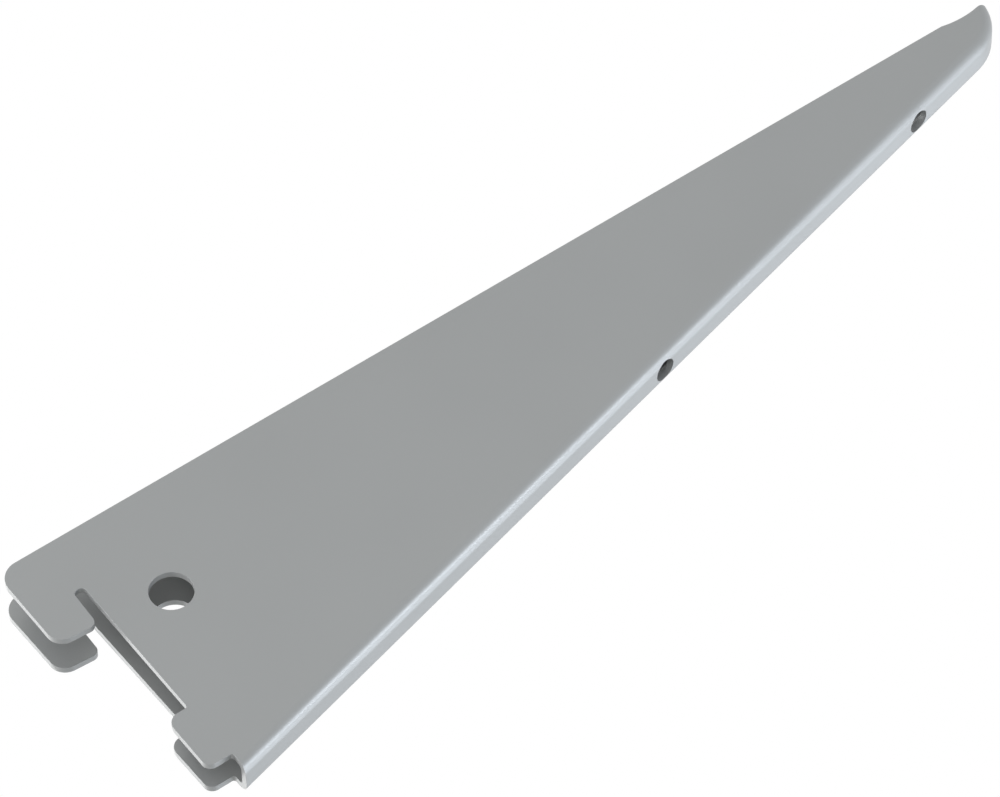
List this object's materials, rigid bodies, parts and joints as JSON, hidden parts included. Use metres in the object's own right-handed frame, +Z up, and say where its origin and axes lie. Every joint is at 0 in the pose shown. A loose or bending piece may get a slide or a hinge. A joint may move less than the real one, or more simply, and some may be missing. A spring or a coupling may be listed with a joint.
{
  "type": "shelf bracket",
  "caption": "Folded sheet-steel shelf bracket that hooks into a slotted wall upright, with a tapering channel body and a turned-up nose.",
  "frame": {"origin": "on the middle plane, where the face of the upright meets the slot edge that the hooks sit on (the top of the notches)", "axes": "+X forward from the wall along the shelf line, +Y across the bracket, +Z up"},
  "size_m": [0.2483, 0.012, 0.0668],
  "materials": {
    "bracket_coat": "satin silver-grey powder coat"
  },
  "bodies": {
    "root": {"bracket": "bracket_coat"}
  },
  "joints": []
}
